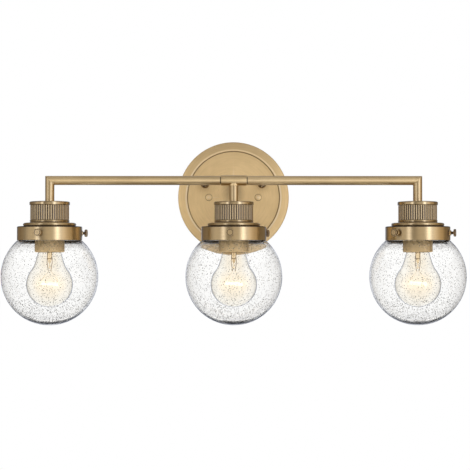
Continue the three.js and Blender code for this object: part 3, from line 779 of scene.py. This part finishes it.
middle_stem = turned("middle_stem", [
    (4.8, -7.45),
    (5.75, -7.45),
    (6, -7.7),
    (6, -26.8),
    (5.8, -27),
    (4.8, -27),
    (4.8, -7.45),
], steps=64)
joined(middle_stem, turned("nipple", nipple_outline, steps=64))
put(middle_stem, (0, -projection, 0))
dress(middle_stem, stem_brass, "fixture", "satin_brass", "center_stem", smooth=24)


# Reeded caps. A spun brass cap closes the top of each lamp: a plain rounded rim, fifty upright reeds
# rolled into its side, and a beaded foot that flares to the shade holder. The stem's nipple clamps it.

lamp_places = {"left": -lamp_spacing, "center": 0, "right": lamp_spacing}
screw_turns = {"left": -12.2, "center": -6, "right": -45.6}


def hang(piece, name, finish, slot, node, body="fixture", turns=None, smooth=32):
    """Hangs a copy of a piece in each lamp. The piece is modelled about Z below the stem's foot."""
    for side, x in lamp_places.items():
        hung = copied(piece, name + "_" + side)
        put(hung, (x, -projection, -stem_drop), (0, 0, (turns or {}).get(side, 0)))
        dress(hung, finish, body.format(side), slot, node.format(side), smooth=smooth)
    bpy.data.objects.remove(piece)


valley = 24.4
cap = turned("cap", [
    (5.3, 0),
    (15, -0.1),
    (20, -0.45),
    *corner(24.9, -2.3, 1.5, 80, 0, 6),
    *corner(25.4, -4.6, 1.0, 0, -90, 6),
    *corner(valley + 0.4, -6.0, 0.4, 90, 180, 3),
    (valley, -24.4),
    *corner(24.7, -26.1, 1.3, 100, -50, 8),
    (25.6, -27.6),
    (26.2, -28.3),
    (26.0, -28.6),
    (23, -28.6),
    (23, -1.5),
    (5.3, -1.5),
    (5.3, 0),
], steps=120)
reeds = stamped("reeds", [(24.0, -1.25), *corner(24.05, 0, 1.25, -80, 80, 10), (24.0, 1.25)], 18.9)
put(reeds, (0, 0, -24.7))
alone(reeds)
bpy.ops.object.mode_set(mode="EDIT")
bpy.ops.mesh.select_all(action="SELECT")
bpy.ops.mesh.spin(
    steps=49, dupli=True, angle=2 * math.pi * 49 / 50, center=(0, 0, 0), axis=(0, 0, 1))
bpy.ops.object.mode_set(mode="OBJECT")
joined(cap, reeds)


def reed_shade(nodes, first, second, radius, along):
    """Painted shade: brown between the reeds, and a brown line under the foot's bead."""
    low = nodes.step(along, -stem_drop * mm - 5.4 * mm, -stem_drop * mm - 5.9 * mm)
    high = nodes.step(along, -stem_drop * mm - 25.2 * mm, -stem_drop * mm - 24.7 * mm)
    foot_shade = nodes.step(along, -stem_drop * mm - 27.2 * mm, -stem_drop * mm - 27.7 * mm)
    return (nodes.step(radius, 25.2 * mm, 24.9 * mm) * low * high).math("MAXIMUM", foot_shade)


cap_brass = brass("satin_brass_cap", "lamp", roughness=0.25, coat=1.0, tone_and_light=0.78, painted_shade=reed_shade)
hang(cap, "reeded_cap", cap_brass, "satin_brass", "husk_{}")


# Shade holders. A spun brass cup over each globe's neck: a collar inside the cap, a round-nosed step,
# and the plain ring, brushed round. Three bosses on the ring are drilled for the thumbscrews.

ring = 42.5
screw_level = -41.9
holder = turned("holder", [
    (41.3, -51.6),
    (42.3, -51.6),
    (42.5, -51.4),
    *corner(ring - 1.3, -34.7, 1.3, 0, 90, 6),
    (35.2, -33.4),
    (33.2, -33.3),
    *corner(32.35, -31.05, 2.35, -72, 90, 16),
    (22.9, -28.7),
    (22.7, -28.5),
    (22.7, -22.7),
    (21.5, -22.7),
    (21.5, -29.9),
    (31.0, -29.9),
    (31.0, -34.6),
    (41.3, -34.6),
    (41.3, -51.6),
], steps=144)
for i in range(3):
    angle = math.radians(120 * i)
    outward = (math.sin(angle), -math.cos(angle))
    boss = turned("boss", [(0, 41.9), (3.4, 41.9), (3.4, 43.5), (3.0, 43.9), (0, 43.9)], steps=40)
    put(boss, (0, 0, screw_level), (90, 0, 120 * i))
    finished(holder, "BOOLEAN", operation="UNION", solver="EXACT", object=boss)
    bpy.data.objects.remove(boss)
    hole = (42.5 * outward[0], 42.5 * outward[1], screw_level)
    drilled(holder, 2.3, hole, 8, (math.radians(90), 0, angle))


def ring_groove_shade(nodes, first, second, radius, along):
    """Painted shade in the groove between the step and the ring."""
    top = nodes.step(along, -stem_drop * mm - 32.6 * mm, -stem_drop * mm - 33.2 * mm)
    return top * nodes.step(along, -stem_drop * mm - 34.9 * mm, -stem_drop * mm - 34.5 * mm)


lamp_brass = brass("satin_brass_lamp", "lamp", tone_and_light=1.05, painted_shade=ring_groove_shade)
# Painted shade: the inside of the ring and its lower edge are darkened almost to dark brown.
inside_brass = brass("shaded_inside_brass", "lamp", roughness=0.5, grain=0.0, coat=0.15, overall_shade=0.95)
holder.data.materials.append(lamp_brass)
holder.data.materials.append(inside_brass)
for face in holder.data.polygons:
    inward = face.center.x * face.normal.x + face.center.y * face.normal.y < -0.3 * ring * mm
    face.material_index = int(inward or face.center.z < -51.5 * mm)
hang(holder, "shade_ring", None, "satin_brass", "shade_holder_{}", turns=screw_turns)


# Thumbscrews. Three to a lamp, turned brass: a threaded shank through the ring's boss onto the glass
# neck, and a knurled head with rings turned in its face. Each backs out on a body of its own.

screw = turned("screw", [
    (0, 39.7),
    (1.5, 39.7),
    *threaded(2, 40.2, 46.6, 0.8, 0.25),
    (2.0, 47.0),
    (2.4, 47.2),
    (4.6, 47.2),
    (4.9, 47.5),
    (4.9, 49.5),
    *corner(4.5, 49.6, 0.4, 10, 90, 4),
    (4.15, 50),
    (3.95, 49.6),
    (3.45, 49.6),
    (3.25, 50),
    (1.5, 50),
    (1.35, 49.8),
    (1.1, 49.8),
    (0.95, 50),
    (0, 50),
], steps=72)
# Every third column of the head's side is pressed in, as its knurl.
for point in screw.data.vertices:
    out = math.hypot(point.co.x, point.co.y)
    column = round(math.degrees(math.atan2(point.co.y, point.co.x)) / 5)
    if out > 4.8 * mm and column % 3 == 0:
        point.co.x *= 0.95
        point.co.y *= 0.95
screw.data.materials.append(brass("satin_brass_screw", "lamp", roughness=0.4, grain=0.0))
# Painted shade: the head's side, the ring in its face and all below the head are darkened almost to dark
# brown.
screw.data.materials.append(brass("shaded_brass_screw", "lamp", roughness=0.35, grain=0.0, overall_shade=0.95))
for face in screw.data.polygons:
    out = math.hypot(face.center.x, face.center.y) / mm
    face.material_index = int(out > 4.7 or 3.3 < out < 4.1 or face.center.z < 47.3 * mm)
for side, x in lamp_places.items():
    for i, letter in enumerate("abc"):
        clamp = copied(screw, "clamp_screw_" + side + "_" + letter)
        turn = screw_turns[side] + 120 * i
        put(clamp, (x, -projection, screw_level - stem_drop), (90, 0, turn))
        its_body = "screw_" + side + "_" + letter
        dress(clamp, None, its_body, "satin_brass", "thumbscrew_" + side + "_" + letter, smooth=25)
bpy.data.objects.remove(screw)


# Socket cups. A plain drawn brass sleeve in each lamp, which hides the lampholder. It hangs on the
# nipple under the cap and comes down through the holder into the globe.

cup = turned("cup", [
    (5.3, -1.6),
    *corner(18.5, -2.6, 1.0, 90, 0, 5),
    *corner(18.2, -65.1, 1.3, 0, -90, 6),
    (17.6, -66.4),
    (17.4, -66.2),
    (17.4, -65.7),
    *corner(17.3, -64.4, 1.3, -86, 0, 4),
    (18.6, -2.5),
    (5.3, -2.5),
    (5.3, -1.6),
], steps=112)
# Tone and light 1.28 brightens the sleeve as painted light from the bulb.
cup_brass = brass("satin_brass_cup", "lamp", roughness=0.6, grain=0.0, coat=0.0, metal=0.6, tone_and_light=1.28)
hang(cup, "socket_sleeve", cup_brass, "satin_brass", "socket_cup_{}")


# Lampholders. Inside each sleeve a steel nut clamps the sleeve and a glazed porcelain body, which
# holds the brass screw shell and the springy contact under the bulb's tip.

sleeve_nut = hexagon_nut("sleeve_nut", 14, 4, 5.3)
put(sleeve_nut, (0, 0, -6.6))
hang(sleeve_nut, "sleeve_nut", zinc, "zinc_steel", "lock_nut_{}", smooth=20)


def glazed(name):
    """White glazed porcelain, a little uneven, with fine dark specks."""
    nodes = Nodes(bpy.data.materials.new(name))
    place = nodes.place()
    cloud = nodes.noise(place, 60.0, 3.0)
    speck = nodes.step(nodes.noise(place, 900.0, 1.0), 0.72, 0.78)
    color = nodes.mix(cloud, (0.76, 0.72, 0.65), (0.84, 0.81, 0.75))
    return nodes.principled({
        "Base Color": nodes.mix(speck * 0.5, color, (0.35, 0.3, 0.25)),
        "Roughness": cloud * 0.1 + 0.2,
        "Normal": nodes.bump(0.15, 0.1, cloud),
        "Coat Weight": 0.6,
        "Coat Roughness": 0.08,
    })


def drawn_metal(name, color, roughness):
    """Thin bright metal, drawn in a press: soft streaks along it and a few stains."""
    nodes = Nodes(bpy.data.materials.new(name))
    place = nodes.place()
    x, y, z = nodes.xyz(place)
    streak = nodes.noise(nodes.vector(x * 1500, y * 1500, z * 60), 1.0, 2.0)
    dark_patch = nodes.step(nodes.noise(place, 140.0, 3.0), 0.5, 0.75)
    dark = tuple(c * 0.7 for c in color)
    shade = nodes.mix(streak * 0.4, color, dark)
    return nodes.principled({
        "Base Color": nodes.mix(dark_patch * 0.35, shade, (0.28, 0.19, 0.12)),
        "Metallic": 1.0,
        "Roughness": streak * 0.12 + dark_patch * 0.12 + roughness,
        "Normal": nodes.bump(0.15, 0.02, streak),
    })


lampholder = turned("lampholder", [
    (0, -20.0),
    (5.3, -20.0),
    (5.3, -6.7),
    *corner(16.2, -7.7, 1.0, 90, 0, 4),
    *corner(16.7, -58.5, 0.5, 0, -90, 3),
    *corner(15.3, -58.6, 0.4, -90, -180, 3),
    (14.9, -36.0),
    (10.0, -36.0),
    (10.0, -29.0),
    (0, -29.0),
], steps=72)
hang(lampholder, "lampholder_body", glazed("porcelain_glaze"), "porcelain", "lampholder_{}")

shell_finish = drawn_metal("shell_brass", (0.72, 0.55, 0.34), 0.2)
shell = turned("shell", [
    (13.5, -58.5),
    (14.6, -58.5),
    (14.6, -36.3),
    (14.4, -36.1),
    (10.0, -36.1),
    (10.0, -37.2),
    (13.5, -37.2),
    (13.5, -58.5),
], steps=72)
hang(shell, "thread_shell", shell_finish, "shell_metal", "screw_shell_{}")

for side in lamp_places:
    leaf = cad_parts["center_contact_" + side]
    leaf.data.materials.clear()
    leaf.data.materials.append(shell_finish)


# Bulb bases. The bright metal screw base of each bulb, with its rolled thread and the round contact
# at its tip. The whole bulb turns with it in the holder.

base_thread = [(12.75 + 0.45 * math.cos(2 * math.pi * i / 8), -39.6 - 4.8 * i / 8) for i in range(25)]
base = turned("base", [
    (0, -33.6),
    (2.3, -33.6),
    *corner(3.8, -34.6, 0.8, 90, 20, 3),
    (4.6, -34.8),
    (9.6, -38.0),
    (12.4, -38.8),
    *base_thread,
    (13.1, -54.6),
    (13.2, -55.0),
    (13.2, -59.1),
    (12.6, -59.1),
    (12.6, -54.8),
    (0, -54.8),
], steps=72)
base_finish = drawn_metal("base_nickel", (0.74, 0.60, 0.42), 0.18)
hang(base, "bulb_screw_base", base_finish, "shell_metal", "bulb_base_{}", "bulb_{}")


# Bulb glass. A clear blown envelope, tinted warm most where seen squarely as a painted glow of the
# lit filament, round below and drawn in to a neck that is cemented in the base.


def blown_glass(name, middle, clear, rim, wave, index=1.42, foot=None, shoulder=None, halo=None):
    """Clear glass. Its tint goes by how squarely it is seen, and its surface has soft waves. Foot is the
    tint of a thick bottom, and shoulder the painted shade in patches on the top, each with the levels
    between which it starts, and halo is the light of a filament on the glass round it, with its level
    and its reach."""
    nodes = Nodes(bpy.data.materials.new(name))
    place = nodes.place()
    slant = nodes.add("ShaderNodeLayerWeight", {}, {"Blend": 0.5}, "Facing")
    ripple = nodes.noise(place, 45.0, 2.0) + nodes.noise(place, 230.0, 1.0) * 0.12
    tint = nodes.mix(nodes.step(slant, 0.02, 0.4), middle, clear)
    tint = nodes.mix(nodes.step(slant, 0.6, 1.0), tint, rim)
    level = nodes.xyz(place)[2]
    if foot:
        color, start, end = foot
        low = nodes.step(level, start * mm, end * mm)
        tint = nodes.mix(low * nodes.step(slant, 0.55, 0.8), tint, color)
    if shoulder:
        color, start, end = shoulder
        patches = nodes.step(nodes.noise(place, 210.0, 3.0, 0.6), 0.35, 0.6)
        tint = nodes.mix(nodes.step(level, start * mm, end * mm) * patches, tint, color)
    values = {
        "Base Color": tint,
        "Roughness": ripple * 0.02,
        "Normal": nodes.bump(wave, 0.6, ripple),
        "IOR": index,
        "Transmission Weight": 1.0,
    }
    if halo:
        color, middle_level, span = halo
        away = (level - middle_level * mm) / (span * mm)
        near = (-(away * away)).math("EXPONENT") * nodes.step(slant, 0.4, 0.0)
        values["Emission Color"] = nodes.mix(near, (0.0, 0.0, 0.0), color)
        values["Emission Strength"] = 1.0
    return nodes.principled(values)


def inside(line, wall):
    """A line moved to its left by the thickness of a wall."""
    moved = []
    for i, (r, h) in enumerate(line):
        r0, h0 = line[max(i - 1, 0)]
        r1, h1 = line[min(i + 1, len(line) - 1)]
        length = math.hypot(r1 - r0, h1 - h0)
        moved.append((max(r - wall * (h1 - h0) / length, 0), h + wall * (r1 - r0) / length))
    return moved


bulb_middle = -109.19
bulb_radius = 30.4
round_end = 40
leave = math.radians(round_end)
neck_start = Vector((bulb_radius * math.cos(leave), bulb_middle + bulb_radius * math.sin(leave)))
neck_pull = neck_start + 8 * Vector((-math.sin(leave), math.cos(leave)))
neck_draw = Vector((16.3, -67.5))
neck_end = Vector((12.3, -59.1))
neck = []
for i in range(1, 13):
    t = i / 12
    away = (1 - t) ** 3 * neck_start + 3 * t * (1 - t) ** 2 * neck_pull
    neck.append(tuple(away + 3 * t * t * (1 - t) * neck_draw + t ** 3 * neck_end))
envelope = [*corner(0, bulb_middle, bulb_radius, -90, round_end, 26), *neck, (12.3, -55.1)]
bulb_wall = inside(envelope, 0.5)
bulb_wall[0] = (0, envelope[0][1] + 0.5)
bulb = turned("bulb", envelope + bulb_wall[::-1], steps=96)
# The warm middle and faint tints are a painted glow of the filament's light.
glow_middle, faint_tint, gray_edge = (0.985, 0.94, 0.86), (0.99, 0.975, 0.94), (0.95, 0.94, 0.91)
filament_halo = ((0.035, 0.024, 0.008), -135.5, 11)
bulb_glass = blown_glass(
    "glow_tinted_glass", glow_middle, faint_tint, gray_edge, 0.05, 1.18, halo=filament_halo)
hang(bulb, "bulb_envelope", bulb_glass, "bulb_glass", "bulb_glass_{}", "bulb_{}", smooth=60)


# Filament. A coiled tungsten wire hung nearly level between two leads from a glass mount that stands
# in the bulb's neck. It glows warm white, and the mount and the leads' lower ends take its amber light.
# The leads' upper ends and the clip round the mount are brown nickel wire.


def glowing_wire(name):
    """White hot wire, a little cooler here and there."""
    nodes = Nodes(bpy.data.materials.new(name))
    hot = nodes.step(nodes.noise(nodes.place(), 260.0, 1.0), 0.3, 0.7)
    return nodes.principled({
        "Base Color": (0.3, 0.2, 0.12, 1),
        "Roughness": 0.5,
        "Emission Color": nodes.mix(hot, (1.0, 0.88, 0.6), (1.0, 0.95, 0.75)),
        "Emission Strength": 1.6,
    })


def lit_amber(name):
    """Glass and wire close to the filament, in its amber light."""
    nodes = Nodes(bpy.data.materials.new(name))
    drift = nodes.noise(nodes.place(), 150.0, 2.0)
    return nodes.principled({
        "Base Color": nodes.mix(drift, (0.94, 0.80, 0.56), (0.99, 0.94, 0.82)),
        "Roughness": drift * 0.2 + 0.05,
        "Transmission Weight": 0.8,
        "IOR": 1.4,
        "Emission Color": (1.0, 0.7, 0.34, 1),
        "Emission Strength": 0.1,
    })


glow = glowing_wire("glowing_tungsten")
amber = lit_amber("amber_mount")
brown_wire = drawn_metal("brown_nickel", (0.34, 0.23, 0.12), 0.3)
mount = turned("mount", [
    (0, -88.6),
    *corner(0.0, -87.4, 1.2, -60, 50, 5),
    (0.5, -86.0),
    (0.5, -82.0),
    *corner(1.0, -79.6, 0.8, -90, 0, 4),
    (2.2, -77.0),
    (2.5, -74.0),
    (2.4, -68.0),
    (2.8, -62.0),
    (4.2, -59.5),
    (9.5, -56.0),
    (11.0, -55.1),
    (0, -55.1),
], steps=32)
clip = turned("clip", [
    (2.4, -75.6),
    *corner(2.8, -75.2, 0.4, -90, 90, 4),
    (2.4, -74.8),
    (2.4, -75.6),
], steps=32)
filament_level = -108.09
filament_length = 25
filament_drop = 2
coil_turns = 15
tilt = math.degrees(math.atan2(filament_drop, filament_length))


def bent_wire(points, radius):
    """A bent wire through points in millimetres."""
    bpy.ops.object.select_all(action="DESELECT")
    bpy.ops.mesh.primitive_circle_add(vertices=8, radius=radius * mm, fill_type="NGON")
    piece = bpy.context.object
    bpy.ops.object.mode_set(mode="EDIT")
    bpy.ops.transform.translate(value=[v * mm for v in points[0]])
    for p0, p1 in zip(points, points[1:]):
        along = [(b - a) * mm for a, b in zip(p0, p1)]
        bpy.ops.mesh.extrude_region_move(TRANSFORM_OT_translate={"value": along})
    bpy.ops.mesh.select_all(action="SELECT")
    bpy.ops.mesh.normals_make_consistent(inside=False)
    bpy.ops.object.mode_set(mode="OBJECT")
    return piece


brown_parts = [clip]
amber_parts = [mount]
for sign in (-1, 1):
    coil_end = filament_level - sign * filament_drop / 2
    brown_parts.append(bent_wire([
        (2.7 * sign, 0, -66),
        (3.0 * sign, 0, -75),
        (3.4 * sign, 0.1, -80),
        (1.6 * sign, 0.2, -92),
    ], 0.42))
    amber_parts.append(bent_wire([
        (1.6 * sign, 0.2, -92),
        (6.0 * sign, 0.1, -98),
        (10.2 * sign, 0, -103.5),
        (11.6 * sign, 0, coil_end - 0.9),
    ], 0.25))
bpy.ops.object.select_all(action="DESELECT")
bpy.ops.mesh.primitive_circle_add(vertices=6, radius=0.42 * mm)
coil = bpy.context.object
put(coil, (2.2, 0, 0), (90, 0, 0))
finished(coil, "SCREW", angle=2 * math.pi * coil_turns, steps=coil_turns * 14,
         render_steps=coil_turns * 14, screw_offset=23 * mm, iterations=1, axis="Z",
         use_normal_calculate=True)
put(coil, (0, 0, -11.5))
alone(coil)
bpy.ops.object.mode_set(mode="EDIT")
bpy.ops.mesh.select_all(action="SELECT")
bpy.ops.mesh.fill_holes(sides=8)
bpy.ops.mesh.normals_make_consistent(inside=False)
bpy.ops.object.mode_set(mode="OBJECT")
put(coil, (0, 0, filament_level), (0, 90 + tilt, 0))
for piece in amber_parts:
    piece.data.materials.append(amber)
for piece in brown_parts:
    piece.data.materials.append(brown_wire)
coil.data.materials.append(glow)
joined(mount, *amber_parts, *brown_parts, coil)
hang(mount, "glowing_wire", None, "filament", "bulb_filament_{}", "bulb_{}", smooth=40)


# Globes. Mouth-blown clear glass with small air bubbles caught in its wall. The neck, with a rolled
# lip, goes up into the ring, and the thumbscrews bear on it under the lip. The bubbles' walls and
# patches on the shoulder are gray as painted shade.

globe_middle = -99.19
globe_radius = 63.5
shoulder_angle = math.degrees(math.asin(47.09 / globe_radius))
seed_count = 2600


def glass_wall(lift):
    """The glass is thin at the globe's widest, where lift is 0, and thick at its foot and shoulder."""
    return 2.0 + 2.6 * max(-lift, 0) ** 4 + 2.6 * max(lift, 0) ** 3


bore = []
for i in range(61):
    angle = math.radians(53 - 143 * i / 60)
    bore_radius = globe_radius - glass_wall(math.sin(angle))
    bore.append((bore_radius * math.cos(angle), globe_middle + bore_radius * math.sin(angle)))
bore[-1] = (0, bore[-1][1])
globe = turned("globe", [
    *corner(0, globe_middle, globe_radius, -90, shoulder_angle, 60),
    *corner(41.6, -53.0, 0.95, 48, 90, 3),
    *corner(40.6, -50.9, 1.2, -90, -180, 4),
    (39.4, -39.9),
    *corner(39.7, -39.6, 0.3, 180, 90, 2),
    (40.4, -39.2),
    *corner(40.2, -38.0, 0.7, -30, 30, 3),
    *corner(39.9, -36.3, 1.0, 0, 90, 5),
    *corner(37.4, -36.3, 1.0, 90, 180, 5),
    (36.4, -47.0),
    *bore,
], steps=128)
clear_tint, rim_tint = (1.0, 1.0, 0.995), (0.95, 0.945, 0.93)
thick_foot = ((0.93, 0.92, 0.89), -150, -178)
# Painted shade: gray patches on the globe's shoulder.
shoulder_shade = ((0.62, 0.61, 0.6), -92, -80)
globe.data.materials.append(blown_glass(
    "seeded_clear_glass", clear_tint, clear_tint, rim_tint, 0.24, 1.28,
    foot=thick_foot, shoulder=shoulder_shade))
bpy.ops.object.select_all(action="DESELECT")
bpy.ops.mesh.primitive_uv_sphere_add(segments=6, ring_count=4, radius=mm)
bubble = bpy.context.object
bubble.name = "bubble"
# Painted shade: the bubbles' walls are dark gray glass, so each bubble shows dark.
gray = (0.2, 0.195, 0.18)
bubble.data.materials.append(blown_glass("bubble_wall", gray, gray, gray, 0.0, 1.28))
bpy.ops.object.mode_set(mode="EDIT")
bpy.ops.mesh.select_all(action="SELECT")
bpy.ops.mesh.flip_normals()
bpy.ops.object.mode_set(mode="OBJECT")
random.seed(7)
seeds = []
while len(seeds) < seed_count:
    lift = -0.98 + 1.68 * random.random() ** 1.45
    turn = random.uniform(0, 2 * math.pi)
    wall = glass_wall(lift)
    size = random.choice((0.3, 0.36, 0.42, 0.48, 0.56)) * (1.35 if lift < -0.45 else 1.0)
    size = min(size, wall / 2 - 0.2)
    flat = math.sqrt(1 - lift * lift)
    spot = Vector((flat * math.cos(turn), flat * math.sin(turn), lift)) * (globe_radius - wall / 2)
    if all((spot - other).length > size * 1.5 + far * 1.5 + 0.1 for other, far in seeds):
        seeds.append((spot, size))
bubbles = []
for spot, size in seeds:
    copy = bubble.copy()
    copy.data = bubble.data.copy()
    bpy.context.collection.objects.link(copy)
    copy.location = [v * mm for v in spot + Vector((0, 0, globe_middle))]
    copy.scale = (size, size, size * random.uniform(1.0, 1.2))
    upright = Vector((0, 0, 1)) - spot * (spot.z / spot.length_squared)
    copy.rotation_euler = upright.to_track_quat("Z", "X").to_euler()
    bubbles.append(copy)
joined(globe, *bubbles)
bpy.data.objects.remove(bubble)
globe_turns = {"left": 0, "center": 118, "right": 241}
hang(globe, "glass_globe", None, "seeded_glass", "globe_{}", turns=globe_turns, smooth=60)


# Wires. One insulated cable to each lamp, from a connector behind the plate through the arm, the tee
# and the tubes. They are hidden but for the connector, so their modelled shape stays.


def insulation(name):
    """Black plastic with dust on it."""
    nodes = Nodes(bpy.data.materials.new(name))
    dust = nodes.noise(nodes.place(), 300.0, 4.0)
    return nodes.principled({
        "Base Color": nodes.mix(
            nodes.step(dust, 0.5, 0.8) * 0.5, (0.03, 0.027, 0.024), (0.12, 0.11, 0.1)),
        "Roughness": dust * 0.25 + 0.42,
        "Normal": nodes.bump(0.3, 0.05, dust),
    })


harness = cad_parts["wiring_harness"]
harness.data.materials.clear()
harness.data.materials.append(insulation("wire_insulation"))
